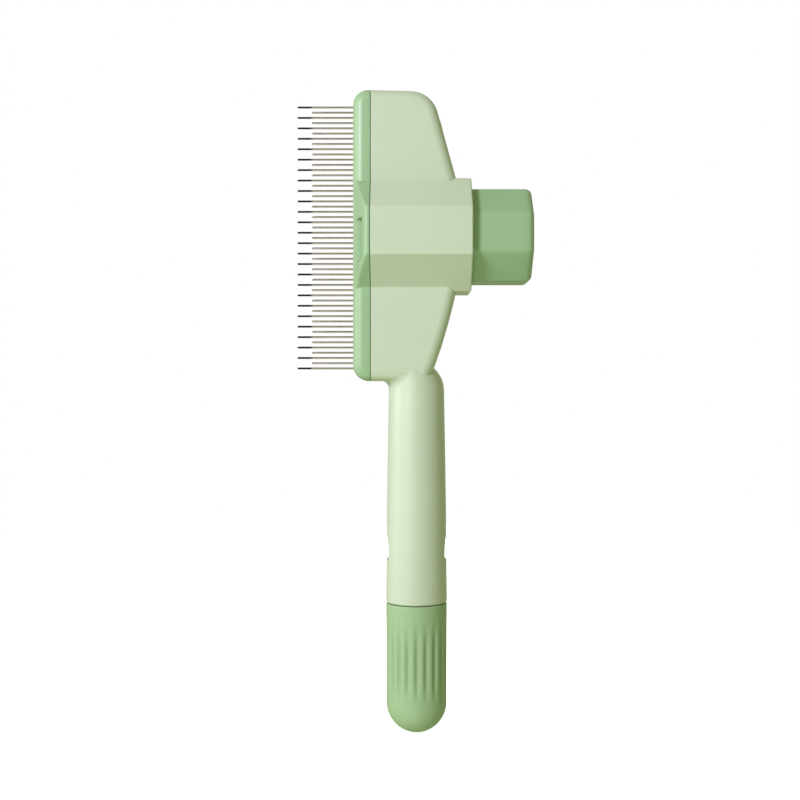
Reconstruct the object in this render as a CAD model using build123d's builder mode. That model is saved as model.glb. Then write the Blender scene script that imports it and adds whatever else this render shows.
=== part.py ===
from build123d import *
import math
import os

# Grooming comb with a push-button hair ejector.
# Frame: +Z runs up the handle from the tip of the end cap, the pins point towards -X and the
# thumb button points towards +X. The origin is under the handle's axis. Millimetres throughout.

os.makedirs("parts", exist_ok=True)

# ---------------------------------------------------------------- driving dimensions
# Handle and end cap
handle_length = 107.35  # tip of the end cap to the underside of the head
cap_height = 39.8  # tip of the end cap to its seam with the handle
cap_radius = 9.3
cap_draft = 0.1  # the cap is this much slimmer where its round tip begins
cap_seam_gap = 0.25  # shadow line between handle and cap
cap_wall = 1.65
cap_inner_radius = 5.8
cap_floor = 7.0
cap_fit = 0.05  # radial clearance of the cap on its spigot
spigot_length = 19.5
snap_bead = 0.25  # height of the snap ring that holds the cap on
snap_rise = 5.0  # from the spigot's lower end to that ring
flute_count = 20
flute_radius = 1.6
flute_depth = 0.45
flute_bottom = 9.5
flute_top = 36.5
handle_seam_step = 0.04  # the handle's seam edge stands this proud of the cap
handle_middle_radius = 9.0
handle_neck_radius = 8.45
handle_rim_radius = 0.5  # softened edge beside the cap
handle_core_radius = 5.8
handle_core_roof = 2.5  # left between the hollow and the hanging hole
neck_drop = 3.35  # the neck's rounding starts this far under the head
neck_side_proud = 0.05  # its sides end this far outside the head's
neck_shape = (  # height over that start, how far its rear is drawn in, share of its sides' way
    (0.0, 0.0, 0.0),
    (2.0, 0.15, 0.2),
    (4.0, 0.73, 0.5),
    (5.7, 1.7, 0.8),
    (7.2, 2.95, 1.0),
)
neck_fillet = 2.4  # concave corner between the neck and the head's underside

# Hanging hole through the handle
hang_hole_bottom = 52.9
hang_hole_width = 7.0
hang_hole_side = 2.2  # straight part of its sides
hang_hole_height = 7.8
hang_hole_corner = 1.0

# Head
head_thickness = 16.5
head_end_margin = 3.825  # from the end pins to the head's top and bottom
head_edge_radius = 3.0
head_wall = 1.8
rim_reach = 13.8  # handle axis to the open front rim
crown_reach = 4.6  # handle axis to the corner of the top and the sloping back
crown_drop = 0.45  # the top edge falls this much towards the back
crown_radius = 8.6
waist_reach = 11.9  # handle axis to the back of the head, where it meets the barrel
heel_reach = 5.4  # handle axis to the foot of the back
heel_rise = 4.25  # height of that foot over the head's underside
heel_bulge = 0.4  # the lower back is this much fuller than straight
heel_run = 2.0  # the foot lies this far behind the corner with the underside
heel_radius = 1.0

# Barrel and thumb button, both regular octagons
barrel_wall = 2.7
barrel_reach = 16.4  # handle axis to the barrel's end
barrel_edge_radius = 0.5
button_reach = 34.7  # handle axis to the button's end
button_wall = 2.0
button_end_wall = 2.2
button_edge_radius = 1.0
button_clearance = 0.3
travel = 14.0
stop_gap = 0.4  # left between the fork and the backing bar at full travel

# Stripper plate
plate_depth = 5.4
plate_wall = 1.8
plate_side_wall = 1.6
plate_corner_radius = 4.5
plate_arch_radius = 38.0
lobe_edge_radius = 0.9
seam_gap = 0.15
pin_hole_clearance = 0.15
pocket_height = 12.8
pocket_width = 5.1
pocket_drop = 2.2  # the pocket's middle lies this far under the barrel's axis
pocket_gap = 1.25  # from the head's side to the pocket
pocket_floor = 3.2  # depth of its floor behind the plate's crest
pocket_wall = 1.0
pocket_corner = 0.8

# Pins
pin_pairs = 25  # 25 short pins stand between 26 long ones
pin_pitch = 1.6
pin_diameter = 0.6
pin_tip_chamfer = 0.12
pin_head_diameter = 1.15
pin_head_height = 0.45
pin_fit = 0.04
short_pin_tuck = 1.1  # their tips stay this far inside the plate's holes at full travel
long_pin_lead = 4.4  # the long pins reach this much further

# Pin carrier, backing bar and spring
carrier_clearance = 0.2
carrier_end_gap = 0.45
carrier_proud = 1.7  # in front of the head's rim
carrier_depth = 6.0
groove_width = 1.7
backing_depth = 2.0
guide_flange_radius = 5.4
guide_flange_depth = 1.0
guide_radius = 3.2
guide_length = 16.0
guide_fit = 0.1
guide_nose = 1.0  # chamfer of its free end
spring_mean_radius = 4.4
spring_wire = 0.8
spring_turns = 11
spring_end_gap = 0.15
spring_tube_wall = 1.3
spring_tube_length = 8.0
spring_tube_clearance = 0.6

# Push fork
fork_disc = 3.0
fork_spigot = 3.0
fork_fit = 0.1
fork_bore_radius = 7.0
arm_gap = 1.75  # from the head's side to the arm
arm_thickness = 4.0
arm_width = 10.0

# Screws
screw_radius = 1.0
screw_head_radius = 1.9
screw_head_height = 1.1
screw_recess_width = 0.5
screw_recess_depth = 0.6
screw_fit = 0.06
screw_end_gap = 0.5  # a blind hole is this much deeper than its screw
boss_radius = 2.2
carrier_screw_offset = 4.0  # to each side of the pins
carrier_screw_inset = 10.6  # from the head's top and bottom
carrier_screw_bite = 8.0
plate_screw_bite = 7.0
button_screw_offset = 9.2
button_screw_bite = 7.0

# ---------------------------------------------------------------- worked-out places
pin_span = 2 * pin_pairs * pin_pitch
head_height = pin_span + 2 * head_end_margin
head_bottom = handle_length
head_top = head_bottom + head_height
barrel_z = head_bottom + head_height / 2
half_head = head_thickness / 2
button_flats = head_thickness + 2 * (arm_gap + arm_thickness)
bore_flats = button_flats + 2 * button_clearance
barrel_flats = bore_flats + 2 * barrel_wall
rim_x = -rim_reach
crest_x = rim_x - plate_depth
waist_top = barrel_z + barrel_flats / 2
waist_bottom = barrel_z - barrel_flats / 2
neck_z = head_bottom - neck_drop
handle_seam_radius = cap_radius + handle_seam_step
cap_tip_radius = cap_radius - cap_draft
cap_top = cap_height - cap_seam_gap
spigot_radius = cap_radius - cap_wall
spigot_bottom = cap_height - spigot_length
snap_z = spigot_bottom + snap_rise
cavity_half = half_head - head_wall
carrier_front = rim_x - carrier_proud
carrier_back = carrier_front + carrier_depth
backing_back = carrier_back + backing_depth
bar_half_width = cavity_half - carrier_clearance
bar_low = head_bottom + head_wall + carrier_end_gap
bar_high = head_top - head_wall - carrier_end_gap
bar_length = bar_high - bar_low
bar_z = (bar_high + bar_low) / 2
fork_front = backing_back + travel + stop_gap
fork_back = fork_front + fork_disc
button_inner_end = button_reach - button_end_wall
button_inner_flats = button_flats - 2 * button_wall
arm_outer = button_flats / 2
arm_middle = arm_outer - arm_thickness / 2
plate_back = rim_x - seam_gap
pocket_floor_x = crest_x + pocket_floor
pocket_middle = half_head + pocket_gap + pocket_width / 2
short_pin_reach = travel - short_pin_tuck
long_pin_reach = short_pin_reach + long_pin_lead
first_pin_z = barrel_z - pin_span / 2
long_pin_spots = [(0, first_pin_z + 2 * n * pin_pitch) for n in range(pin_pairs + 1)]
short_pin_spots = [(0, first_pin_z + (2 * n + 1) * pin_pitch) for n in range(pin_pairs)]
carrier_screw_spots = [
    (side * carrier_screw_offset, z)
    for side in (-1, 1)
    for z in (head_bottom + carrier_screw_inset, head_top - carrier_screw_inset)
]
plate_screw_spots = [(side * arm_middle, barrel_z) for side in (-1, 1)]
button_screw_spots = [(0, barrel_z + side * button_screw_offset) for side in (-1, 1)]


# ---------------------------------------------------------------- shared outlines
def octagon(flats):
    """Regular octagon by its width across flats, with flats facing along Y and Z."""
    return RegularPolygon(flats / 2, 8, major_radius=False, rotation=22.5)


def head_face(inset=0.0):
    """Side view of the head, drawn in by inset: straight front, falling top, sloping back."""
    with BuildSketch() as face:
        with BuildLine():
            Polyline(
                (heel_reach, head_bottom + heel_rise),
                (heel_reach - heel_run, head_bottom),
                (rim_x, head_bottom),
                (rim_x, head_top),
                (crown_reach, head_top - crown_drop),
                (waist_reach, waist_top),
                (waist_reach, waist_bottom),
            )
            ThreePointArc(
                (waist_reach, waist_bottom),
                (
                    (waist_reach + heel_reach) / 2 + heel_bulge,
                    (waist_bottom + head_bottom + heel_rise) / 2,
                ),
                (heel_reach, head_bottom + heel_rise),
            )
        make_face()
        crown = face.vertices().sort_by_distance((crown_reach, head_top - crown_drop))[0]
        fillet(crown, crown_radius)
        foot = face.vertices().sort_by_distance((heel_reach, head_bottom + heel_rise))[0]
        fillet(foot, heel_radius)
        heel = face.vertices().sort_by_distance((heel_reach - heel_run, head_bottom))[0]
        fillet(heel, heel_radius)
        if inset:
            offset(amount=-inset)
    return face.sketch_local


def screw(bite):
    """Pan head screw along +X with a cross recess, its head's seat at X = 0."""
    with BuildPart() as body:
        with BuildSketch(Plane.YZ):
            Circle(screw_radius)
        extrude(amount=bite)
        with BuildSketch(Plane.YZ):
            Circle(screw_head_radius)
        extrude(amount=-screw_head_height)
        with BuildSketch(Plane.YZ.offset(-screw_head_height)):
            Rectangle(2 * screw_radius, screw_recess_width)
            Rectangle(screw_recess_width, 2 * screw_radius)
        extrude(amount=screw_recess_depth, mode=Mode.SUBTRACT)
    return body.part


def screws(spots, seat_x, bite):
    """One screw on each (Y, Z) spot, with the heads' seats at seat_x."""
    one = screw(bite)
    with BuildPart() as group:
        with Locations([(seat_x, y, z) for y, z in spots]):
            add(one)
    return group.part


def finish(part, name):
    """Names a finished piece and writes its STEP file."""
    part.label = name
    export_step(part, f"parts/{name}.step")


# ---------------------------------------------------------------- housing: head, barrel and handle
with BuildPart() as head:
    with BuildSketch(Plane.XZ.offset(-half_head)):
        add(head_face())
    extrude(amount=head_thickness)
    outline_edges = head.faces().filter_by(Axis.Y).edges()
    fillet(outline_edges.filter_by(lambda e: e.center().X > rim_x + 1), head_edge_radius)

with BuildPart() as head_cavity:
    with BuildSketch(Plane.XZ.offset(-cavity_half)):
        add(head_face(head_wall))
    extrude(amount=2 * cavity_half)
    with BuildSketch(Plane.YZ.offset(rim_x)):
        with Locations((0, barrel_z)):
            Rectangle(2 * cavity_half, head_height - 2 * head_wall)
    extrude(amount=head_wall + 1)

with BuildPart() as screw_bosses:
    with BuildSketch(Plane.YZ.offset(backing_back)):
        with Locations(carrier_screw_spots):
            Circle(boss_radius)
    extrude(amount=waist_reach - backing_back)
    with BuildSketch(Plane.XZ.offset(-half_head)):
        add(head_face())
    extrude(amount=head_thickness, mode=Mode.INTERSECT)

with BuildPart() as neck:
    neck_widening = half_head + neck_side_proud - handle_neck_radius
    for height, drawn_in, share in neck_shape:
        with BuildSketch(Plane.XY.offset(neck_z + height)):
            with Locations((-drawn_in / 2, 0)):
                Ellipse(handle_neck_radius - drawn_in / 2, handle_neck_radius + share * neck_widening)
    loft()

with BuildPart() as handle:
    with BuildSketch(Plane.XZ):
        with BuildLine():
            Polyline(
                (handle_core_radius, spigot_bottom),
                (spigot_radius, spigot_bottom),
                (spigot_radius, cap_height),
                (handle_seam_radius - handle_rim_radius, cap_height),
            )
            ThreePointArc(
                (handle_seam_radius - handle_rim_radius, cap_height),
                (
                    handle_seam_radius - handle_rim_radius * (1 - math.sqrt(0.5)),
                    cap_height + handle_rim_radius * (1 - math.sqrt(0.5)),
                ),
                (handle_seam_radius, cap_height + handle_rim_radius),
            )
            Spline(
                (handle_seam_radius, cap_height + handle_rim_radius),
                (handle_middle_radius, (cap_height + neck_z) / 2),
                (handle_neck_radius, neck_z),
            )
            Polyline(
                (handle_neck_radius, neck_z),
                (0, neck_z),
                (0, hang_hole_bottom - handle_core_roof),
                (handle_core_radius, hang_hole_bottom - handle_core_roof),
                (handle_core_radius, spigot_bottom),
            )
        make_face()
    revolve(axis=Axis.Z)
    with BuildSketch(Plane.XZ):
        with Locations((spigot_radius, snap_z)):
            Circle(snap_bead)
    revolve(axis=Axis.Z)

with BuildPart() as hang_hole:
    with BuildSketch(Plane.YZ.offset(-2 * cap_radius)):
        with BuildLine():
            half_hole = hang_hole_width / 2
            hole_spring = hang_hole_bottom + hang_hole_side
            Polyline(
                (-half_hole, hole_spring),
                (-half_hole, hang_hole_bottom),
                (half_hole, hang_hole_bottom),
                (half_hole, hole_spring),
            )
            EllipticalCenterArc(
                (0, hole_spring),
                half_hole,
                hang_hole_height - hang_hole_side,
                start_angle=0,
                arc_size=180,
            )
        make_face()
    extrude(amount=4 * cap_radius)
    fillet(
        hang_hole.edges().filter_by(Axis.X).group_by(Axis.Z)[0],
        hang_hole_corner,
    )

with BuildPart() as housing:
    add(head.part)
    with BuildSketch(Plane.YZ.offset(rim_x)):
        with Locations((0, barrel_z)):
            octagon(barrel_flats)
    extrude(amount=rim_reach + barrel_reach)
    barrel_rim = housing.faces().sort_by(Axis.X)[-1].edges()
    fillet(barrel_rim, barrel_edge_radius)
    add(neck.part)
    add(handle.part)
    neck_corner = housing.edges().filter_by(GeomType.BSPLINE).filter_by(
        lambda e: abs(e.center().Z - head_bottom) < neck_fillet
    )
    fillet(neck_corner.sort_by(Axis.X)[:3], neck_fillet)
    add(head_cavity.part, mode=Mode.SUBTRACT)
    add(screw_bosses.part)
    with BuildSketch(Plane.YZ.offset(rim_x)):
        with Locations((0, barrel_z)):
            octagon(bore_flats)
    extrude(amount=rim_reach + barrel_reach, mode=Mode.SUBTRACT)
    with BuildSketch(Plane.YZ.offset(backing_back)):
        with Locations(carrier_screw_spots):
            Circle(screw_radius + screw_fit)
    extrude(amount=carrier_screw_bite + screw_end_gap, mode=Mode.SUBTRACT)
    add(hang_hole.part, mode=Mode.SUBTRACT)
finish(housing.part, "housing")

# ---------------------------------------------------------------- end cap
flute_centre = cap_radius - flute_depth + flute_radius
flute_half_width = math.sqrt(flute_depth * (2 * flute_radius - flute_depth))
flute_low = flute_bottom + flute_half_width
flute_high = flute_top - flute_half_width

with BuildPart() as flute:
    with BuildSketch(Plane.XY.offset(flute_low)):
        with Locations((flute_centre, 0)):
            Circle(flute_radius)
    extrude(amount=flute_high - flute_low)
    with Locations((flute_centre, 0, flute_low), (flute_centre, 0, flute_high)):
        Sphere(flute_radius)

with BuildPart() as end_cap:
    with BuildSketch(Plane.XZ):
        with BuildLine():
            Polyline(
                (0, 0),
                (0, cap_floor),
                (cap_inner_radius, cap_floor),
                (cap_inner_radius, spigot_bottom - cap_fit),
                (spigot_radius + cap_fit, spigot_bottom - cap_fit),
                (spigot_radius + cap_fit, cap_top),
                (cap_radius, cap_top),
                (cap_tip_radius, cap_tip_radius),
            )
            CenterArc((0, cap_tip_radius), cap_tip_radius, -90, 90)
        make_face()
    revolve(axis=Axis.Z)
    with BuildSketch(Plane.XZ):
        with Locations((spigot_radius, snap_z)):
            Circle(snap_bead + cap_fit)
    revolve(axis=Axis.Z, mode=Mode.SUBTRACT)
    with PolarLocations(0, flute_count, start_angle=180 / flute_count):
        add(flute.part, mode=Mode.SUBTRACT)
finish(end_cap.part, "end_cap")

# ---------------------------------------------------------------- pin carrier and backing bar
with BuildPart() as pin_carrier:
    with BuildSketch(Plane.YZ.offset(carrier_front)):
        with Locations((0, bar_z)):
            Rectangle(2 * bar_half_width, bar_length)
    extrude(amount=carrier_depth)
    front_ends = pin_carrier.edges().group_by(Axis.X)[0].filter_by(Axis.Y)
    chamfer(front_ends, carrier_proud)
    with BuildSketch(Plane.YZ.offset(carrier_front)):
        with Locations(long_pin_spots + short_pin_spots):
            Circle(pin_diameter / 2 + pin_fit)
    extrude(amount=carrier_depth, mode=Mode.SUBTRACT)
    with BuildSketch(Plane.YZ.offset(carrier_back)):
        with Locations((0, barrel_z)):
            SlotCenterToCenter(pin_span, groove_width, rotation=90)
    extrude(amount=-pin_head_height, mode=Mode.SUBTRACT)
    with BuildSketch(Plane.YZ.offset(carrier_front)):
        with Locations(carrier_screw_spots):
            Circle(screw_radius + screw_fit)
    extrude(amount=carrier_depth, mode=Mode.SUBTRACT)
    with BuildSketch(Plane.YZ.offset(carrier_front)):
        with Locations(carrier_screw_spots):
            Circle(screw_head_radius + screw_fit)
    extrude(amount=screw_head_height, mode=Mode.SUBTRACT)
finish(pin_carrier.part, "pin_carrier")

with BuildPart() as pin_backing_bar:
    with BuildSketch(Plane.YZ.offset(carrier_back)):
        with Locations((0, bar_z)):
            Rectangle(2 * bar_half_width, bar_length)
    extrude(amount=backing_depth)
    with BuildSketch(Plane.YZ.offset(carrier_back)):
        with Locations(carrier_screw_spots):
            Circle(screw_radius + screw_fit)
        with Locations((0, barrel_z)):
            Circle(guide_radius + guide_fit)
    extrude(amount=backing_depth, mode=Mode.SUBTRACT)
    with BuildSketch(Plane.YZ.offset(carrier_back)):
        with Locations((0, barrel_z)):
            Circle(guide_flange_radius + guide_fit)
    extrude(amount=guide_flange_depth, mode=Mode.SUBTRACT)
finish(pin_backing_bar.part, "pin_backing_bar")


# ---------------------------------------------------------------- pins
def pins(spots, reach):
    """Headed straight pins of one length, their heads in the carrier's rear groove."""
    head_seat = carrier_back - pin_head_height
    with BuildPart() as row:
        with BuildSketch(Plane.YZ.offset(crest_x - reach)):
            with Locations(spots):
                Circle(pin_diameter / 2)
        extrude(amount=head_seat - crest_x + reach)
        chamfer(row.edges().group_by(Axis.X)[0], pin_tip_chamfer)
        with BuildSketch(Plane.YZ.offset(head_seat)):
            with Locations(spots):
                Circle(pin_head_diameter / 2)
        extrude(amount=pin_head_height)
    return row.part


finish(pins(long_pin_spots, long_pin_reach), "long_pins")
finish(pins(short_pin_spots, short_pin_reach), "short_pins")

# ---------------------------------------------------------------- return spring and its guide
with BuildPart() as spring_guide:
    with BuildSketch(Plane.YZ.offset(carrier_back)):
        with Locations((0, barrel_z)):
            Circle(guide_flange_radius)
    extrude(amount=guide_flange_depth)
    with BuildSketch(Plane.YZ.offset(carrier_back)):
        with Locations((0, barrel_z)):
            Circle(guide_radius)
    extrude(amount=backing_depth + guide_length)
    chamfer(spring_guide.edges().group_by(Axis.X)[-1], guide_nose)
finish(spring_guide.part, "spring_guide")

spring_low = backing_back + spring_wire / 2 + spring_end_gap
spring_high = button_inner_end - spring_wire / 2 - spring_end_gap

with BuildPart() as return_spring:
    with BuildLine() as coil:
        Helix(
            pitch=(spring_high - spring_low) / spring_turns,
            height=spring_high - spring_low,
            radius=spring_mean_radius,
            center=(spring_low, 0, barrel_z),
            direction=(1, 0, 0),
        )
    with BuildSketch(Plane(coil.line @ 0, z_dir=coil.line % 0)):
        Circle(spring_wire / 2)
    sweep(path=coil.line, is_frenet=True)
finish(return_spring.part, "return_spring")

# ---------------------------------------------------------------- push fork
with BuildPart() as push_fork:
    with BuildSketch(Plane.YZ.offset(fork_front)):
        with Locations((0, barrel_z)):
            octagon(button_flats)
    extrude(amount=fork_disc)
    with BuildSketch(Plane.YZ.offset(fork_back)):
        with Locations((0, barrel_z)):
            octagon(button_inner_flats - 2 * fork_fit)
    extrude(amount=fork_spigot)
    with BuildSketch(Plane.YZ.offset(plate_back)):
        with Locations([(side * arm_middle, barrel_z) for side in (-1, 1)]):
            Rectangle(arm_thickness, arm_width)
    extrude(amount=fork_front - plate_back)
    with BuildSketch(Plane.YZ.offset(fork_front)):
        with Locations((0, barrel_z)):
            Circle(fork_bore_radius)
        with Locations(button_screw_spots):
            Circle(screw_radius + screw_fit)
    extrude(amount=fork_disc + fork_spigot, mode=Mode.SUBTRACT)
    with BuildSketch(Plane.YZ.offset(fork_front)):
        with Locations(button_screw_spots):
            Circle(screw_head_radius + screw_fit)
    extrude(amount=screw_head_height, mode=Mode.SUBTRACT)
    with BuildSketch(Plane.YZ.offset(plate_back)):
        with Locations(plate_screw_spots):
            Circle(screw_radius + screw_fit)
    extrude(amount=plate_screw_bite + screw_end_gap, mode=Mode.SUBTRACT)
finish(push_fork.part, "push_fork")

# ---------------------------------------------------------------- thumb button
with BuildPart() as button:
    with BuildSketch(Plane.YZ.offset(fork_back)):
        with Locations((0, barrel_z)):
            octagon(button_flats)
    extrude(amount=button_reach - fork_back)
    fillet(button.faces().sort_by(Axis.X)[-1].edges(), button_edge_radius)
    with BuildSketch(Plane.YZ.offset(fork_back)):
        with Locations((0, barrel_z)):
            octagon(button_inner_flats)
    extrude(amount=button_inner_end - fork_back, mode=Mode.SUBTRACT)
    with BuildSketch(Plane.YZ.offset(fork_back + fork_spigot)):
        with Locations(button_screw_spots):
            Circle(boss_radius)
    extrude(amount=button_inner_end - fork_back - fork_spigot)
    spring_tube_radius = spring_mean_radius + spring_wire / 2 + spring_tube_clearance
    with BuildSketch(Plane.YZ.offset(button_inner_end)):
        with Locations((0, barrel_z)):
            Circle(spring_tube_radius + spring_tube_wall)
            Circle(spring_tube_radius, mode=Mode.SUBTRACT)
    extrude(amount=-spring_tube_length)
    with BuildSketch(Plane.YZ.offset(fork_back + fork_spigot)):
        with Locations(button_screw_spots):
            Circle(screw_radius + screw_fit)
    extrude(amount=button_screw_bite + screw_end_gap, mode=Mode.SUBTRACT)
finish(button.part, "button")

# ---------------------------------------------------------------- stripper plate
def plate_face(side_wall, front_wall, back):
    """Side view of the plate, drawn in by its walls, with rounded front corners."""
    front = crest_x + front_wall
    with BuildSketch() as face:
        with Locations(((front + back) / 2, barrel_z)):
            Rectangle(back - front, head_height - 2 * side_wall)
        fillet(face.vertices().group_by(Axis.X)[0], plate_corner_radius - front_wall)
    return face.sketch_local


def lobe_solid(flats, front, radius):
    """Octagonal block from the plate's rear rim to an arched front, on one arch centre."""
    with BuildPart() as block:
        with BuildSketch(Plane.YZ.offset(plate_back)):
            with Locations((0, barrel_z)):
                octagon(flats)
        extrude(amount=front - plate_back)
        with BuildSketch(Plane.XY.offset(waist_bottom)):
            with Locations((front + radius, 0)):
                Circle(radius)
        extrude(amount=barrel_flats, mode=Mode.INTERSECT)
    return block.part


pocket_spots = [(side * pocket_middle, barrel_z - pocket_drop) for side in (-1, 1)]

with BuildPart() as lobes:
    add(lobe_solid(barrel_flats, crest_x, plate_arch_radius))
    lobe_front = lobes.faces().filter_by(GeomType.CYLINDER)
    fillet(lobe_front.edges(), lobe_edge_radius)

with BuildPart() as lobe_cavity:
    add(
        lobe_solid(
            barrel_flats - 2 * plate_wall, crest_x + plate_wall, plate_arch_radius - plate_wall
        )
    )
    with BuildSketch(Plane.YZ.offset(plate_back)):
        with Locations(pocket_spots):
            Rectangle(pocket_width + 2 * pocket_wall, pocket_height + 2 * pocket_wall)
    extrude(amount=-plate_depth, mode=Mode.SUBTRACT)

with BuildPart() as stripper_plate:
    with BuildSketch(Plane.XZ.offset(-half_head)):
        add(plate_face(0, 0, plate_back))
    extrude(amount=head_thickness)
    rounded_edges = stripper_plate.faces().filter_by(Axis.Y).edges()
    fillet(rounded_edges.filter_by(lambda e: e.center().X < plate_back - 0.1), head_edge_radius)
    add(lobes.part)
    with BuildSketch(Plane.XZ.offset(plate_side_wall - half_head)):
        add(plate_face(plate_side_wall, plate_wall, plate_back))
    extrude(amount=head_thickness - 2 * plate_side_wall, mode=Mode.SUBTRACT)
    add(lobe_cavity.part, mode=Mode.SUBTRACT)
    with BuildSketch(Plane.YZ.offset(pocket_floor_x)):
        with Locations(pocket_spots):
            RectangleRounded(pocket_width, pocket_height, pocket_corner)
    extrude(amount=-pocket_floor, mode=Mode.SUBTRACT)
    with BuildSketch(Plane.YZ.offset(plate_back)):
        with Locations(plate_screw_spots):
            Circle(screw_radius + screw_fit)
    extrude(amount=-plate_depth, mode=Mode.SUBTRACT)
    with BuildSketch(Plane.YZ.offset(pocket_floor_x)):
        with Locations(plate_screw_spots):
            Circle(screw_head_radius + screw_fit)
    extrude(amount=screw_head_height, mode=Mode.SUBTRACT)
    with BuildSketch(Plane.YZ.offset(plate_back)):
        with Locations(long_pin_spots + short_pin_spots):
            Circle(pin_diameter / 2 + pin_hole_clearance)
    extrude(amount=-2 * plate_depth, mode=Mode.SUBTRACT)
finish(stripper_plate.part, "stripper_plate")

# ---------------------------------------------------------------- screws
carrier_seat_x = carrier_front + screw_head_height
carrier_shank = backing_back - carrier_seat_x + carrier_screw_bite
finish(screws(carrier_screw_spots, carrier_seat_x, carrier_shank), "carrier_screws")

plate_screw_seat = pocket_floor_x + screw_head_height
plate_shank = plate_back - plate_screw_seat + plate_screw_bite
finish(screws(plate_screw_spots, plate_screw_seat, plate_shank), "plate_screws")

button_seat_x = fork_front + screw_head_height
button_shank = fork_back + fork_spigot - button_seat_x + button_screw_bite
finish(screws(button_screw_spots, button_seat_x, button_shank), "button_screws")
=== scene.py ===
"""Finished surfaces, materials and stage of a grooming comb with long and short pins and a
hair ejector."""

import math

import bpy
import numpy as np
from bpy.props import FloatProperty, FloatVectorProperty, IntProperty, PointerProperty
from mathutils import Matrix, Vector


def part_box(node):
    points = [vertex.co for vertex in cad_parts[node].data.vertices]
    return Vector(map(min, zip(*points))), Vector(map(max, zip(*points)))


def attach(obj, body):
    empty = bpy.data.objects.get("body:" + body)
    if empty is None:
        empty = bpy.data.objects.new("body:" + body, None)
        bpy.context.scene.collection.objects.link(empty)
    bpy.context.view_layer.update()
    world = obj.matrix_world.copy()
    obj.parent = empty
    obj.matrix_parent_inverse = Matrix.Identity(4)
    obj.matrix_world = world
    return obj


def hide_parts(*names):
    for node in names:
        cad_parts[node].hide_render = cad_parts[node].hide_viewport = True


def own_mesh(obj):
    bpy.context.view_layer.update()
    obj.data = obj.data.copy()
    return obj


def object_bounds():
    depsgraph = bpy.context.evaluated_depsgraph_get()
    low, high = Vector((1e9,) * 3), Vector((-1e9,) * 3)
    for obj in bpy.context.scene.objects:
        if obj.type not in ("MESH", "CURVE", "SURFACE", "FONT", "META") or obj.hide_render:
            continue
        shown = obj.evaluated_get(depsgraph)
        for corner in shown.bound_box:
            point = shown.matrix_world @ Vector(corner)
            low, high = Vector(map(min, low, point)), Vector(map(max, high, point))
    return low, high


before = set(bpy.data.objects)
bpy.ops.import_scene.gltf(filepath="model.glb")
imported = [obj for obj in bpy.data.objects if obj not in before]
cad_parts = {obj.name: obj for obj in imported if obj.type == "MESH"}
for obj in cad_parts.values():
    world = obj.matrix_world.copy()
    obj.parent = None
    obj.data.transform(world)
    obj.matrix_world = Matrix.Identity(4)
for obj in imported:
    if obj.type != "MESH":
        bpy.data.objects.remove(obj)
cad_low, cad_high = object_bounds()

bl_info = {
    "name": "Grooming comb surfaces",
    "version": (1, 0, 0),
    "blender": (4, 5, 0),
    "location": "View3D > Sidebar > Comb",
    "description": "Builds the visible surfaces, materials and studio of a pet grooming comb",
    "category": "Object",
}

MM = 0.001
TAU = 2 * math.pi

# ---------------------------------------------------------------- fixed sizes, in metres
CAP_DRAFT = 0.1 * MM  # the cap is this much slimmer where its round tip begins
CAP_LIP = 0.3 * MM  # rounding of the cap's upper edge
CAP_HOLLOW = 5.8 * MM  # radius of the cap's hollow below the handle's end
CAP_FLOOR = 7.0 * MM  # height of that hollow's floor over the cap's tip
FLUTE_RISE = 0.35  # share of the flutes' length over which their low ends deepen
FLUTE_FADE = 0.45  # share over which their high ends run out
FLUTE_POWER = 1.5  # above 1, the ridges are broader than the hollows
BUTTON_END_WALL = 2.2 * MM
BOSS_START = 3.0 * MM  # the button's two screw bosses begin this far inside its rim
BOSS_RADIUS = 2.2 * MM
BOSS_BORE = 1.06 * MM
SPRING_TUBE_LENGTH = 8.0 * MM
SPRING_TUBE_RADIUS = 6.7 * MM
SPRING_TUBE_BORE = 5.4 * MM
TUBE_ROOT = 0.3 * MM  # the tubes run this far into the end wall
LONG_PINS = 26
PIN_HEAD_RADIUS = 0.575 * MM
PIN_HEAD_HEIGHT = 0.45 * MM
PIN_NOSE = 0.35 * MM  # length of a pin's blunt tip
PIN_END_FADE = 0.5 * MM  # the dark ends fade out this far to each side of the short pins' tips
SCREW_HEAD_RADIUS = 1.9 * MM
SCREW_HEAD_HEIGHT = 1.1 * MM
SCREW_HEAD_RIM = 0.15 * MM  # width of the bevel between the head's crown and its side
SCREW_CROWN = 0.35 * MM  # fall of the crown from the head's middle to its full radius
SCREW_CROWN_END = 0.45 * MM  # from the head's top to where its side begins
SCREW_POINT = 1.2 * MM  # the thread ends this far before the point
SCREW_RADIUS = 1.0 * MM
SCREW_ROOT = 0.78 * MM
RECESS_HALF_WIDTH = 0.28 * MM
RECESS_SLENDER = 4.2  # an arm of the cross recess is this many times as long as it is wide
RECESS_DEPTH = 0.6 * MM
RECESS_SLOPE = 0.12 * MM  # width of the recess's sloping sides
SCREW_NODES = {
    "carrier_screws": "comb_body",
    "plate_screws": "ejector",
    "button_screws": "ejector",
}

# ---------------------------------------------------------------- finishes and studio
HOUSING_ROUGHNESS = 0.36
HOUSING_CORNER = 0.3 * MM
SAGE_ROUGHNESS = 0.4
SAGE_CORNER = 0.6 * MM
CAP_ROUGHNESS = 0.4
PIN_ROUGHNESS = 0.24
SPRING_ROUGHNESS = 0.3
SCREW_ROUGHNESS = 0.34
CAMERA_LENS = 52.4  # focal length in millimetres, on a sensor 36 mm wide
CAMERA_AIM = (-5.06 * MM, 0.0, 101.5 * MM)
CAMERA_DISTANCE = 357 * MM
FLOOR_RADIUS = 0.6
DOME_RADIUS = 3.0
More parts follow.
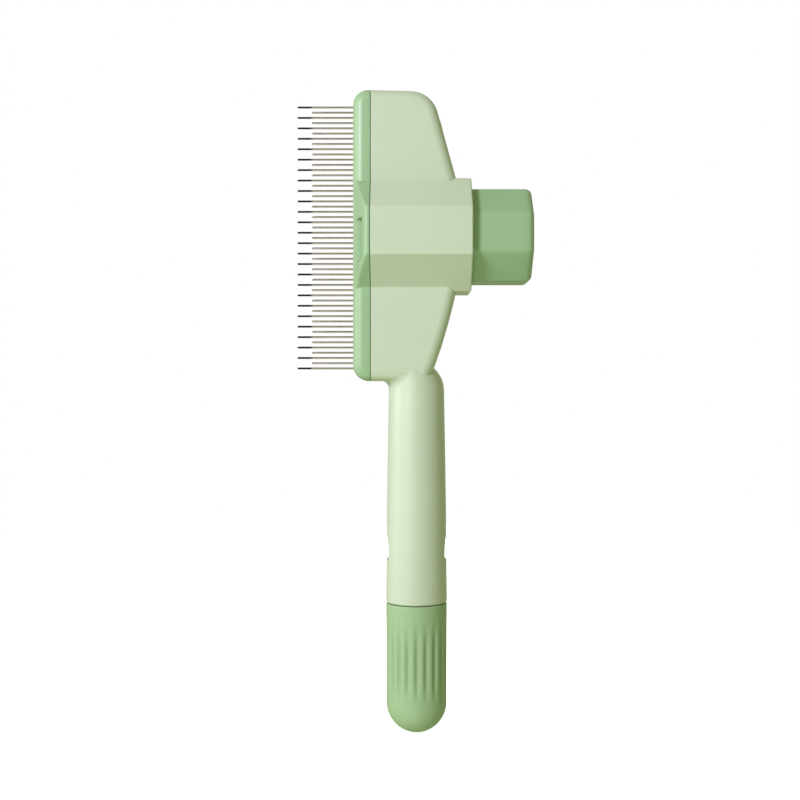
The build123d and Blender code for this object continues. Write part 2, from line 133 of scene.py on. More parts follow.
# The floor and the backdrop show to the camera only: the air and the softboxes light the comb.
AIR_LIGHT = 0.345
AIR_COLOUR = (1.0, 1.03, 0.59, 1.0)
FLOOR_GLOW = 0.85
SOFTBOXES = {
    # name: (place, size, watts, colour, seen in gloss)
    "front_left_key": ((-0.50, -0.64, 0.40), 0.2, 6.4, (0.86, 0.80, 1.0), True),
    "left_edge_light": ((-0.86, -0.10, 0.25), 0.3, 2.06, (1.0, 0.86, 0.95), True),
    "bounce_from_below": ((-0.15, -0.50, -0.62), 0.5, 1.58, (0.93, 1.0, 0.80), True),
    "rear_softbox": ((0.28, 0.86, 0.42), 0.45, 6.0, (0.88, 0.86, 1.0), False),
}


# ---------------------------------------------------------------- colours
def linear(hex_code, alpha=1.0):
    """Linear RGBA of an sRGB hex colour."""
    srgb = np.array([int(hex_code[i : i + 2], 16) for i in (1, 3, 5)]) / 255
    rgb = np.where(srgb <= 0.04045, srgb / 12.92, ((srgb + 0.055) / 1.055) ** 2.4)
    return (*rgb.tolist(), alpha)


# ---------------------------------------------------------------- meshes
def ring_faces(rings, columns, first=0, closed=False):
    """Quads between neighbouring rings of a grid whose columns wrap round."""
    index = first + np.arange(rings * columns).reshape(rings, columns)
    here, after = (index, np.roll(index, -1, axis=0)) if closed else (index[:-1], index[1:])
    around = np.roll(here, -1, axis=1)
    after_around = np.roll(after, -1, axis=1)
    return np.stack([here, around, after_around, after], axis=-1).reshape(-1, 4)


def closed_surface(grid):
    """Vertices and faces of a grid (rings, columns, 3) whose first and last rings are closed
    by fans to their own middles."""
    rings, columns, _ = grid.shape
    points = grid.reshape(-1, 3)
    poles = np.stack([grid[0].mean(axis=0), grid[-1].mean(axis=0)])
    quads = ring_faces(rings, columns)
    first_ring = np.arange(columns)
    last_ring = first_ring + (rings - 1) * columns
    start = np.full(columns, len(points))
    low_fan = np.stack([start, np.roll(first_ring, -1), first_ring], axis=-1)
    high_fan = np.stack([start + 1, last_ring, np.roll(last_ring, -1)], axis=-1)
    faces = quads.tolist() + low_fan.tolist() + high_fan.tolist()
    return np.concatenate([points, poles]), faces


def closed_ring(grid):
    """Vertices and faces of a grid (rings, columns, 3) that wraps round both ways."""
    rings, columns, _ = grid.shape
    return grid.reshape(-1, 3), ring_faces(rings, columns, closed=True).tolist()


def joined(surfaces):
    """One list of vertices and one of faces for several closed surfaces."""
    vertices, faces, first = [], [], 0
    for points, polygons in surfaces:
        vertices.append(points)
        faces += [[corner + first for corner in polygon] for polygon in polygons]
        first += len(points)
    return np.concatenate(vertices), faces


def add_piece(name, vertices, faces, body, stands_for, material, sharp_angle=35):
    """Links a finished mesh, shades it smooth up to sharp_angle degrees and ties it to its body."""
    mesh = bpy.data.meshes.new(name)
    mesh.from_pydata(vertices.tolist(), [], faces)
    mesh.polygons.foreach_set("use_smooth", np.ones(len(mesh.polygons), dtype=bool))
    mesh.set_sharp_from_angle(angle=math.radians(sharp_angle))
    mesh.materials.append(material)
    piece = bpy.data.objects.new(name, mesh)
    bpy.context.scene.collection.objects.link(piece)
    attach(piece, body)
    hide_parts(stands_for)
    return piece


def turned_about_z(radii, heights, angles):
    """Surface of revolution about Z. A point is (r cos a, r sin a, z), with r and z from the
    profile; radii may change with the angle too, as (rings, columns)."""
    radii = np.broadcast_to(np.reshape(radii, (len(heights), -1)), (len(heights), len(angles)))
    z = np.broadcast_to(heights[:, None], radii.shape)
    return np.stack([radii * np.cos(angles), radii * np.sin(angles), z], axis=-1)


def turned_about_x(places, radii, angles, y=0.0, z=0.0):
    """Surface of revolution about the line through (y, z) along X. A point is
    (x, y + r cos a, z + r sin a), with x and r from the profile."""
    x = np.broadcast_to(places[:, None], (len(places), len(angles)))
    across = y + radii[:, None] * np.cos(angles)
    up = z + radii[:, None] * np.sin(angles)
    return np.stack([x, across, up], axis=-1)


def tube_along_x(start, end, radius, bore, y, z):
    """Closed tube between two places on X: its wall's four corners turned about (y, z)."""
    places = np.array([start, end, end, start])
    radii = np.array([radius, radius, bore, bore])
    return closed_ring(turned_about_x(places, radii, full_turn(36), y, z))


def full_turn(count):
    """Evenly spaced angles round a full turn, without the last one, which is the first again."""
    return np.linspace(0, TAU, count, endpoint=False)


def quarter_round(start, end, radius, centre, steps=6):
    """Points (u, v) on an arc round centre from angle start to end, in degrees."""
    angle = np.radians(np.linspace(start, end, steps))
    return np.stack([centre[0] + radius * np.cos(angle), centre[1] + radius * np.sin(angle)], -1)


# ---------------------------------------------------------------- materials
def add_node(material, kind, inputs=None, **settings):
    """Adds a shader node with its settings; an input is a value or another node's output."""
    tree = material.node_tree
    node = tree.nodes.new(kind)
    for name, value in settings.items():
        setattr(node, name, value)
    for name, value in (inputs or {}).items():
        if isinstance(value, bpy.types.NodeSocket):
            tree.links.new(value, node.inputs[name])
        else:
            node.inputs[name].default_value = value
    return node


def new_material(name):
    """Material of that name with an empty node tree."""
    material = bpy.data.materials.get(name) or bpy.data.materials.new(name)
    material.use_nodes = True
    material.node_tree.nodes.clear()
    return material


def finish_material(material, shader):
    """Links the shader to an output and gives the material back."""
    add_node(material, "ShaderNodeOutputMaterial", {"Surface": shader.outputs["BSDF"]})
    return material


def satin_abs(name, colour, roughness, corner_radius):
    """ABS, injection moulded in a finely spark-eroded tool: an even satin sheen with a soft,
    slightly mottled reflection, and edges that glow a little where light passes the skin."""
    material = new_material(name)
    place = add_node(material, "ShaderNodeTexCoord").outputs["Object"]
    flow = add_node(
        material, "ShaderNodeTexNoise", {"Vector": place, "Scale": 1 / (30 * MM), "Detail": 2.0}
    )
    # The spark-eroded grain is about 0.1 mm across, and is drawn at 0.5 mm so that it shows.
    grain = add_node(
        material, "ShaderNodeTexNoise", {"Vector": place, "Scale": 1 / (0.5 * MM), "Detail": 1.0}
    )
    deeper = [channel * 0.94 for channel in colour[:3]] + [1.0]
    lighter = [min(channel * 1.04, 1.0) for channel in colour[:3]] + [1.0]
    tint = add_node(
        material, "ShaderNodeMix", {"Factor": flow.outputs["Fac"]}, data_type="RGBA"
    )
    tint.inputs["A"].default_value = deeper
    tint.inputs["B"].default_value = lighter
    gloss = add_node(
        material,
        "ShaderNodeMapRange",
        {
            "Value": grain.outputs["Fac"],
            "From Min": 0.3,
            "From Max": 0.7,
            "To Min": roughness - 0.04,
            "To Max": roughness + 0.05,
        },
    )
    # Moulded corners are never sharp: reflections roll over them within a few tenths of a
    # millimetre.
    corner = add_node(material, "ShaderNodeBevel", {"Radius": corner_radius}, samples=4)
    relief = add_node(
        material,
        "ShaderNodeBump",
        {
            "Height": grain.outputs["Fac"],
            "Distance": 0.004 * MM,
            "Strength": 0.6,
            "Normal": corner.outputs["Normal"],
        },
    )
    shader = add_node(
        material,
        "ShaderNodeBsdfPrincipled",
        {
            "Base Color": tint.outputs["Result"],
            "Roughness": gloss.outputs["Result"],
            "Normal": relief.outputs["Normal"],
            "IOR": 1.54,
            "Subsurface Weight": 0.12,
            "Subsurface Radius": (1.3, 1.6, 0.9),
            "Subsurface Scale": 0.6 * MM,
        },
    )
    return finish_material(material, shader)


def sage_abs(colours):
    """The sage green ABS that the stripper plate and the button share."""
    return satin_abs("satin_moulded_abs_sage", colours.sage, SAGE_ROUGHNESS, SAGE_CORNER)


def fluted_polypropylene(name, colour, roughness):
    """Polypropylene, injection moulded and lightly textured for grip: a waxier, softer sheen
    than ABS, with painted shade that makes the colour darker down in the flutes."""
    material = new_material(name)
    place = add_node(material, "ShaderNodeTexCoord").outputs["Object"]
    # Painted shade: the mesh's flute_depth share darkens the colour to 0.86 of itself deep in the
    # flutes.
    hollow = add_node(material, "ShaderNodeAttribute", attribute_name="flute_depth")
    # The grip texture is about 0.15 mm across, and is drawn at 0.6 mm so that it shows.
    grain = add_node(
        material, "ShaderNodeTexNoise", {"Vector": place, "Scale": 1 / (0.6 * MM), "Detail": 2.0}
    )
    tint = add_node(
        material, "ShaderNodeMix", {"Factor": hollow.outputs["Fac"]}, data_type="RGBA"
    )
    tint.inputs["A"].default_value = colour
    tint.inputs["B"].default_value = [channel * 0.86 for channel in colour[:3]] + [1.0]
    gloss = add_node(
        material,
        "ShaderNodeMapRange",
        {
            "Value": grain.outputs["Fac"],
            "From Min": 0.3,
            "From Max": 0.7,
            "To Min": roughness - 0.05,
            "To Max": roughness + 0.06,
        },
    )
    relief = add_node(
        material,
        "ShaderNodeBump",
        {"Height": grain.outputs["Fac"], "Distance": 0.006 * MM, "Strength": 0.6},
    )
    shader = add_node(
        material,
        "ShaderNodeBsdfPrincipled",
        {
            "Base Color": tint.outputs["Result"],
            "Roughness": gloss.outputs["Result"],
            "Normal": relief.outputs["Normal"],
            "IOR": 1.49,
            "Subsurface Weight": 0.15,
            "Subsurface Radius": (1.2, 1.6, 0.8),
            "Subsurface Scale": 0.8 * MM,
        },
    )
    return finish_material(material, shader)


def natural_acetal(name, colour):
    """Acetal, moulded without pigment: dense, milky and slippery, with a broad soft highlight
    and faint flow clouds."""
    material = new_material(name)
    place = add_node(material, "ShaderNodeTexCoord").outputs["Object"]
    clouds = add_node(
        material, "ShaderNodeTexNoise", {"Vector": place, "Scale": 1 / (6 * MM), "Detail": 3.0}
    )
    tint = add_node(
        material, "ShaderNodeMix", {"Factor": clouds.outputs["Fac"]}, data_type="RGBA"
    )
    tint.inputs["A"].default_value = [channel * 0.93 for channel in colour[:3]] + [1.0]
    tint.inputs["B"].default_value = colour
    gloss = add_node(
        material,
        "ShaderNodeMapRange",
        {"Value": clouds.outputs["Fac"], "To Min": 0.28, "To Max": 0.42},
    )
    corner = add_node(material, "ShaderNodeBevel", {"Radius": 0.2 * MM}, samples=4)
    shader = add_node(
        material,
        "ShaderNodeBsdfPrincipled",
        {
            "Base Color": tint.outputs["Result"],
            "Roughness": gloss.outputs["Result"],
            "Normal": corner.outputs["Normal"],
            "IOR": 1.48,
            "Subsurface Weight": 0.2,
            "Subsurface Radius": (1.0, 1.0, 0.9),
            "Subsurface Scale": 1.0 * MM,
        },
    )
    return finish_material(material, shader)


def drawn_wire(name, colour, end_colour, roughness):
    """Steel wire, cold drawn through a die and polished: mirror-like round the wire, with fine
    draw lines that stretch its reflections lengthwise, and darker where the mesh's end_share
    says that its ends were heat-tempered. A mesh without end_share has no dark ends."""
    material = new_material(name)
    place = add_node(material, "ShaderNodeTexCoord").outputs["Object"]
    # Draw lines are about 0.01 mm apart, and are drawn 0.08 mm apart and 4 mm long.
    stretch = (1 / (4 * MM), 1 / (0.08 * MM), 1 / (0.08 * MM))
    drawn = add_node(material, "ShaderNodeMapping", {"Vector": place, "Scale": stretch})
    lines = add_node(
        material, "ShaderNodeTexNoise", {"Vector": drawn.outputs["Vector"], "Scale": 1.0}
    )
    shank = add_node(
        material, "ShaderNodeMix", {"Factor": lines.outputs["Fac"]}, data_type="RGBA"
    )
    shank.inputs["A"].default_value = [channel * 0.8 for channel in colour[:3]] + [1.0]
    shank.inputs["B"].default_value = colour
    tempered = add_node(material, "ShaderNodeAttribute", attribute_name="end_share")
    tint = add_node(
        material, "ShaderNodeMix", {"Factor": tempered.outputs["Fac"]}, data_type="RGBA"
    )
    material.node_tree.links.new(shank.outputs["Result"], tint.inputs["A"])
    tint.inputs["B"].default_value = end_colour
    gloss = add_node(
        material,
        "ShaderNodeMapRange",
        {
            "Value": lines.outputs["Fac"],
            "From Min": 0.3,
            "From Max": 0.7,
            "To Min": roughness - 0.06,
            "To Max": roughness + 0.08,
        },
    )
    relief = add_node(
        material,
        "ShaderNodeBump",
        {"Height": lines.outputs["Fac"], "Distance": 0.002 * MM, "Strength": 0.4},
    )
    shader = add_node(
        material,
        "ShaderNodeBsdfPrincipled",
        {
            "Base Color": tint.outputs["Result"],
            "Roughness": gloss.outputs["Result"],
            "Normal": relief.outputs["Normal"],
            "Metallic": 1.0,
        },
    )
    return finish_material(material, shader)


def zinc_plate(name, colour, roughness):
    """Zinc, electroplated on a screw: a cool grey with faint warm and blue passivation clouds
    and a dull, slightly crystalline shine."""
    material = new_material(name)
    place = add_node(material, "ShaderNodeTexCoord").outputs["Object"]
    clouds = add_node(
        material, "ShaderNodeTexNoise", {"Vector": place, "Scale": 1 / (1.2 * MM), "Detail": 3.0}
    )
    tint = add_node(
        material, "ShaderNodeMix", {"Factor": clouds.outputs["Fac"]}, data_type="RGBA"
    )
    tint.inputs["A"].default_value = (colour[0] * 0.9, colour[1] * 0.95, colour[2], 1.0)
    tint.inputs["B"].default_value = (colour[0], colour[1] * 0.98, colour[2] * 0.86, 1.0)
    gloss = add_node(
        material,
        "ShaderNodeMapRange",
        {"Value": clouds.outputs["Fac"], "To Min": roughness - 0.08, "To Max": roughness + 0.12},
    )
    shader = add_node(
        material,
        "ShaderNodeBsdfPrincipled",
        {
            "Base Color": tint.outputs["Result"],
            "Roughness": gloss.outputs["Result"],
            "Metallic": 1.0,
        },
    )
    return finish_material(material, shader)


def lit_paper(name, colour, glow):
    """Translucent studio paper on a light table: matt, very slightly fibrous, and lit from
    below until it is plain white."""
    material = new_material(name)
    place = add_node(material, "ShaderNodeTexCoord").outputs["Object"]
    fibres = add_node(
        material, "ShaderNodeTexNoise", {"Vector": place, "Scale": 1 / (2 * MM), "Detail": 2.0}
    )
    tint = add_node(
        material, "ShaderNodeMix", {"Factor": fibres.outputs["Fac"]}, data_type="RGBA"
    )
    tint.inputs["A"].default_value = [channel * 0.98 for channel in colour[:3]] + [1.0]
    tint.inputs["B"].default_value = colour
    shader = add_node(
        material,
        "ShaderNodeBsdfPrincipled",
        {
            "Base Color": tint.outputs["Result"],
            "Roughness": 0.95,
            "Specular IOR Level": 0.1,
            "Emission Color": (1.0, 1.0, 1.0, 1.0),
            "Emission Strength": glow,
        },
    )
    return finish_material(material, shader)


# ---------------------------------------------------------------- sizes and colours to change
class CombSizes(bpy.types.PropertyGroup):
    """Sizes of the visible surfaces that the frame leaves open."""

    flute_count: IntProperty(
        name="Flutes", description="Flutes round the end cap", default=20, min=3
    )
    flute_depth: FloatProperty(
        name="Flute depth",
        description="Depth of a flute at its deepest",
        default=0.5 * MM,
        unit="LENGTH",
        precision=5,
    )
    flute_low: FloatProperty(
        name="Flute low end",
        description="Height over the cap's tip where the flutes run out",
        default=8.8 * MM,
        unit="LENGTH",
        precision=5,
    )
    flute_high: FloatProperty(
        name="Flute high end",
        description="Height over the cap's tip where the flutes begin",
        default=37.0 * MM,
        unit="LENGTH",
        precision=5,
    )
    cap_wall: FloatProperty(
        name="Cap wall",
        description="Thickness of the end cap's skirt",
        default=1.6 * MM,
        unit="LENGTH",
        precision=5,
    )
    button_wall: FloatProperty(
        name="Button wall",
        description="Thickness of the thumb button's sides",
        default=2.0 * MM,
        unit="LENGTH",
        precision=5,
    )
    button_corner: FloatProperty(
        name="Button corner radius",
        description="Rounding between the button's eight flats",
        default=1.6 * MM,
        unit="LENGTH",
        precision=5,
    )
    button_edge: FloatProperty(
        name="Button edge radius",
        description="Rounding round the button's end",
        default=2.0 * MM,
        unit="LENGTH",
        precision=5,
    )
    pin_diameter: FloatProperty(
        name="Pin diameter",
        description="Diameter of a pin's shank",
        default=0.6 * MM,
        unit="LENGTH",
        precision=5,
    )
    thread_pitch: FloatProperty(
        name="Thread pitch",
        description="Pitch of the self-tapping screws' threads",
        default=0.8 * MM,
        unit="LENGTH",
        precision=5,
    )
    spring_wire: FloatProperty(
        name="Spring wire",
        description="Diameter of the return spring's wire",
        default=0.8 * MM,
        unit="LENGTH",
        precision=5,
    )
    spring_turns: IntProperty(
        name="Spring turns", description="Turns of the return spring", default=11, min=3
    )


class CombColours(bpy.types.PropertyGroup):
    """Colours of the comb's finishes."""

    housing: FloatVectorProperty(
        name="Housing",
        description="Pale sage green of the moulded housing",
        subtype="COLOR",
        size=4,
        default=linear("#C7D8BD"),
    )
    sage: FloatVectorProperty(
        name="Plate and button",
        description="Sage green of the stripper plate and thumb button",
        subtype="COLOR",
        size=4,
        default=linear("#9ABF92"),
    )
    cap: FloatVectorProperty(
        name="End cap",
        description="Deeper sage green of the fluted end cap",
        subtype="COLOR",
        size=4,
        default=linear("#9EBF90"),
    )
    acetal: FloatVectorProperty(
        name="Inner plastic",
        description="Milky white of the unpigmented inner pieces",
        subtype="COLOR",
        size=4,
        default=linear("#E4E2D6"),
    )
    pins: FloatVectorProperty(
        name="Pins",
        description="Grey of the stainless steel pins",
        subtype="COLOR",
        size=4,
        default=linear("#C4B8B8"),
    )
    pin_ends: FloatVectorProperty(
        name="Pin ends",
        description="Near black of the long pins' tempered ends",
        subtype="COLOR",
        size=4,
        default=linear("#2C2A26"),
    )


# ---------------------------------------------------------------- shapes
def octagon_ring(half_flats, corner, steps=6):
    """Points (across, up) round a regular octagon with rounded corners: eight arcs of radius
    corner about the corners of an octagon that is smaller by that radius; the flats join them."""
    corner_angle = np.radians(22.5 + 45 * np.arange(8))
    reach = (half_flats - corner) / math.cos(math.radians(22.5))
    swing = np.radians(np.linspace(-22.5, 22.5, steps))
    angle = corner_angle[:, None] + swing
    across = reach * np.cos(corner_angle)[:, None] + corner * np.cos(angle)
    up = reach * np.sin(corner_angle)[:, None] + corner * np.sin(angle)
    return np.stack([across.ravel(), up.ravel()], axis=-1)


def octagon_shell(places, half_flats, corners, axis_z):
    """Rounded octagons carried along X: ring i lies at places[i] and has its own size."""
    rings = [
        np.insert(octagon_ring(half, corner), 0, place, axis=1)
        for place, half, corner in zip(places, half_flats, corners)
    ]
    return np.stack(rings) + np.array([0, 0, axis_z])


def smooth_step(value):
    """Rises from 0 to 1 with no slope at either end: 3 v^2 - 2 v^3."""
    value = np.clip(value, 0, 1)
    return value * value * (3 - 2 * value)


def fluted_cap(sizes):
    """Closed surface of the end cap, turned about Z, and each vertex's share of the full flute
    depth. The radius is the turned profile's less the flute depth at that height, times half of
    1 + cos(count times the angle) to the power FLUTE_POWER, which leaves broad round ridges
    between narrower hollows. The depth rises and runs out by smooth steps along the flutes."""
    radius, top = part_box("end_cap")[1].x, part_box("end_cap")[1].z
    spigot_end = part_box("housing")[0].z
    tip = radius - CAP_DRAFT
    lip = quarter_round(0, 90, CAP_LIP, (radius - CAP_LIP, top - CAP_LIP), 5)
    side_z = np.linspace(tip, top - CAP_LIP, 96)
    side = np.stack([np.interp(side_z, [tip, top - CAP_LIP], [tip, radius]), side_z], axis=-1)
    bore = radius - sizes.cap_wall
    inside = [
        (bore + CAP_LIP, top),
        (bore, top - CAP_LIP),
        (bore, spigot_end),
        (CAP_HOLLOW, spigot_end),
        (CAP_HOLLOW, CAP_FLOOR),
        (CAP_HOLLOW / 2, CAP_FLOOR),
    ]
    dome = quarter_round(-87, 0, tip, (0, tip), 32)
    profile = np.concatenate([dome, side[1:], lip[1:], inside])
    outer = len(dome) + len(side) - 1

    angles = full_turn(sizes.flute_count * 18)
    span = sizes.flute_high - sizes.flute_low
    along = (profile[:, 1] - sizes.flute_low) / span
    fade = smooth_step(along / FLUTE_RISE) * smooth_step((1 - along) / FLUTE_FADE)
    fade[outer:] = 0
    groove = (0.5 + 0.5 * np.cos(sizes.flute_count * angles)) ** FLUTE_POWER
    share = fade[:, None] * groove
    grid = turned_about_z(profile[:, :1] - sizes.flute_depth * share, profile[:, 1], angles)
    return closed_surface(grid), np.append(share.ravel(), [0, 0])


def thumb_button(sizes):
    """Closed surfaces of the hollow thumb button and the tubes in it: rounded octagons carried
    along X, from the middle of the inner end wall out along the inside, round the rim and back
    along the outside to the middle of the end face, with two screw bosses and the tube round
    the return spring standing on the end wall."""
    low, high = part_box("button")
    half = (high.z - low.z) / 2
    inner_half = half - sizes.button_wall
    inner_end = high.x - BUTTON_END_WALL
    lead = 0.2 * MM
    arc = quarter_round(0, 90, sizes.button_edge, (half, high.x) - np.full(2, sizes.button_edge))
    profile = np.concatenate(
        [
            [(inner_half * share, inner_end) for share in (0.3, 0.7, 1.0)],
            [(inner_half, low.x + lead), (inner_half + lead, low.x)],
            [(half - lead, low.x), (half, low.x + lead)],
            [(half, low.x + share * (inner_end - low.x)) for share in (0.3, 0.6, 0.9)],
            arc,
            [(half * share, high.x) for share in (0.7, 0.3)],
        ]
    )
    outside = np.clip(sizes.button_corner - (half - profile[:, 0]), 0.05 * MM, None)
    axis_z = (high.z + low.z) / 2
    shell = octagon_shell(profile[:, 1], profile[:, 0], outside, axis_z)
    root = inner_end + TUBE_ROOT
    tubes = [
        tube_along_x(low.x + BOSS_START, root, BOSS_RADIUS, BOSS_BORE, y, z)
        for y, z in screw_spots("button_screws")
    ]
    tubes.append(
        tube_along_x(
            inner_end - SPRING_TUBE_LENGTH, root, SPRING_TUBE_RADIUS, SPRING_TUBE_BORE, 0.0, axis_z
        )
    )
    return joined([closed_surface(shell), *tubes])


def headed_pin(tip_x, head_x, height, diameter, shank_rings):
    """Closed surface of one pin, turned about a line along X: a blunt tip as a quarter ellipse,
    a straight shank with a ring of points at each of shank_rings, and a flat upset head."""
    shank = diameter / 2
    head = PIN_HEAD_RADIUS
    angle = np.radians(np.array([12, 35, 60, 90]))
    nose = np.stack([tip_x + PIN_NOSE * (1 - np.cos(angle)), shank * np.sin(angle)], axis=-1)
    collar = head_x - PIN_HEAD_HEIGHT
    rest = [(place, shank) for place in shank_rings]
    rest += [(collar, shank), (collar, head), (head_x, head), (head_x, head / 2)]
    profile = np.concatenate([nose, rest])
    grid = turned_about_x(profile[:, 0], profile[:, 1], full_turn(12), z=height)
    return closed_surface(grid)


def pin_row(node, count, diameter, shank_rings):
    """All pins of one length, evenly spaced between the ends of their CAD node."""
    low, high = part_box(node)
    heights = np.linspace(low.z + PIN_HEAD_RADIUS, high.z - PIN_HEAD_RADIUS, count)
    return joined([headed_pin(low.x, high.x, z, diameter, shank_rings) for z in heights])


def coil_spring(sizes):
    """Closed tube along a helix about X. At turn t the wire's middle lies at radius R and angle
    2 pi t. With s the share of turns, it advances with s - sin(2 pi s) / 4 pi, so that the end
    coils lie half as far apart as the mean. The tube's rings stand across the helix."""
    low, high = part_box("return_spring")
    wire = sizes.spring_wire / 2
    radius = (high.y - low.y) / 2 - wire
    turn = np.linspace(0, sizes.spring_turns, sizes.spring_turns * 36 + 1)
    share = turn / sizes.spring_turns
    closing = 0.5 * np.sin(TAU * share) / TAU
    travel = (high.x - low.x - 2 * wire) * (share - closing)
    middle = np.stack(
        [low.x + wire + travel, radius * np.cos(TAU * turn), radius * np.sin(TAU * turn)], axis=-1
    )
    middle += np.array([0, (high.y + low.y) / 2, (high.z + low.z) / 2])
    out = np.stack([0 * turn, np.cos(TAU * turn), np.sin(TAU * turn)], axis=-1)
    forward = np.gradient(middle, axis=0)
    forward /= np.linalg.norm(forward, axis=1, keepdims=True)
    beside = np.cross(forward, out)
    angle = full_turn(12)[None, :, None]
    rings = middle[:, None] + wire * (
        out[:, None] * np.cos(angle) + beside[:, None] * np.sin(angle)
    )
    return closed_surface(rings)


def tapping_screw(seat_x, end_x, y, z, pitch):
    """Closed surface of a pan head screw along +X. The head's crown falls off with the square of
    the radius and a cross recess is pressed into it: its depth is full where a point lies within
    half a slot's width of either arm. The shank's radius is the root's plus a thread ridge,
    a triangle wave of x / pitch less the share of the turn."""
    angles = full_turn(72)
    head_x = seat_x - SCREW_HEAD_HEIGHT
    radii = np.linspace(0.08, 1, 26) * (SCREW_HEAD_RADIUS - SCREW_HEAD_RIM)
    across, up = radii[:, None] * np.cos(angles), radii[:, None] * np.sin(angles)
    crown = head_x + SCREW_CROWN * (radii[:, None] / SCREW_HEAD_RADIUS) ** 2
    arm = np.minimum(
        np.maximum(np.abs(across), np.abs(up) / RECESS_SLENDER),
        np.maximum(np.abs(up), np.abs(across) / RECESS_SLENDER),
    )
    sunk = smooth_step((RECESS_HALF_WIDTH - arm) / RECESS_SLOPE)
    top = np.stack([crown + RECESS_DEPTH * sunk, y + across, z + up], axis=-1)
    rim = turned_about_x(
        np.array([head_x + SCREW_CROWN_END, seat_x, seat_x]),
        np.array([SCREW_HEAD_RADIUS, SCREW_HEAD_RADIUS, SCREW_ROOT]),
        angles,
        y,
        z,
    )
    x = np.linspace(seat_x, end_x - SCREW_POINT, 60)[1:, None]
    wave = np.abs(((x / pitch - angles / TAU) % 1) * 2 - 1)
    run_in = smooth_step((x - seat_x) / (1.5 * pitch))
    ridge = SCREW_ROOT + (SCREW_RADIUS - SCREW_ROOT) * run_in * np.clip(2 * wave - 1, 0, 1)
    shank = np.stack([x + 0 * angles, y + ridge * np.cos(angles), z + ridge * np.sin(angles)], -1)
    point = turned_about_x(
        np.array([end_x - SCREW_POINT / 2, end_x]), np.array([0.75, 0.3]) * SCREW_ROOT, angles, y, z
    )
    return closed_surface(np.concatenate([top, rim, shank, point]))


def screw_places(low, high):
    """Places of a node's screws along one axis: the middle, or a head's radius from each end."""
    if high - low < 3 * SCREW_HEAD_RADIUS:
        return [(low + high) / 2]
    return [low + SCREW_HEAD_RADIUS, high - SCREW_HEAD_RADIUS]


def screw_spots(node):
    """The (y, z) spots of a node's screws."""
    low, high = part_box(node)
    return [(y, z) for y in screw_places(low.y, high.y) for z in screw_places(low.z, high.z)]


def screw_group(node, pitch):
    """The screws of one CAD node."""
    low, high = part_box(node)
    seat = low.x + SCREW_HEAD_HEIGHT
    return joined([tapping_screw(seat, high.x, y, z, pitch) for y, z in screw_spots(node)])


# ---------------------------------------------------------------- operators
class COMB_OT_housing(bpy.types.Operator):
    """Give the moulded housing its finish"""

    bl_idname = "comb.housing"
    bl_label = "Housing"

    def execute(self, context):
        colours = context.scene.comb_colours
        shell = satin_abs(
            "satin_moulded_abs_pale", colours.housing, HOUSING_ROUGHNESS, HOUSING_CORNER
        )
        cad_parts["housing"].material_slots[0].material = shell
        return {"FINISHED"}


class COMB_OT_stripper_plate(bpy.types.Operator):
    """Give the stripper plate its finish"""

    bl_idname = "comb.stripper_plate"
    bl_label = "Stripper plate"

    def execute(self, context):
        shell = sage_abs(context.scene.comb_colours)
        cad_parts["stripper_plate"].material_slots[0].material = shell
        return {"FINISHED"}


class COMB_OT_button(bpy.types.Operator):
    """Build the hollow eight-sided thumb button"""

    bl_idname = "comb.button"
    bl_label = "Thumb button"

    def execute(self, context):
        shell = sage_abs(context.scene.comb_colours)
        vertices, faces = thumb_button(context.scene.comb_sizes)
        add_piece("thumb_button", vertices, faces, "ejector", "button", shell)
        return {"FINISHED"}


class COMB_OT_end_cap(bpy.types.Operator):
    """Build the fluted end cap"""

    bl_idname = "comb.end_cap"
    bl_label = "End cap"

    def execute(self, context):
        sizes, colours = context.scene.comb_sizes, context.scene.comb_colours
        grip = fluted_polypropylene("fluted_moulded_polypropylene", colours.cap, CAP_ROUGHNESS)
        (vertices, faces), share = fluted_cap(sizes)
        cap = add_piece(
            "fluted_end_cap", vertices, faces, "comb_body", "end_cap", grip, 50
        )
        # The flute depth share is also the mask of the painted shade in the flutes.
        depth = cap.data.attributes.new("flute_depth", "FLOAT", "POINT")
        depth.data.foreach_set("value", share.astype(np.float32))
        return {"FINISHED"}


class COMB_OT_pins(bpy.types.Operator):
    """Build the row of long and short pins"""

    bl_idname = "comb.pins"
    bl_label = "Pins"

    def execute(self, context):
        sizes, colours = context.scene.comb_sizes, context.scene.comb_colours
        steel = drawn_wire("drawn_stainless_wire", colours.pins, colours.pin_ends, PIN_ROUGHNESS)
        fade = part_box("short_pins")[0].x + np.array([-1, 0, 1]) * PIN_END_FADE
        for node, count, rings in (
            ("long_pins", LONG_PINS, fade),
            ("short_pins", LONG_PINS - 1, ()),
        ):
            vertices, faces = pin_row(node, count, sizes.pin_diameter, rings)
            pins = add_piece(
                node + "_polished", vertices, faces, "comb_body", node, steel, 50
            )
            end_share = smooth_step((fade[-1] - vertices[:, 0]) / (fade[-1] - fade[0]))
            share = pins.data.attributes.new("end_share", "FLOAT", "POINT")
            share.data.foreach_set("value", end_share.astype(np.float32))
        return {"FINISHED"}


class COMB_OT_return_spring(bpy.types.Operator):
    """Coil the return spring, which in the real comb shortens as the button is pressed"""

    bl_idname = "comb.return_spring"
    bl_label = "Return spring"

    def execute(self, context):
        sizes = context.scene.comb_sizes
        bright = linear("#9C9A94")
        wire = drawn_wire("bright_spring_wire", bright, bright, SPRING_ROUGHNESS)
        vertices, faces = coil_spring(sizes)
        spring = add_piece(
            "coiled_spring", vertices, faces, "comb_body", "return_spring", wire, 50
        )
        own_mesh(spring)
        return {"FINISHED"}


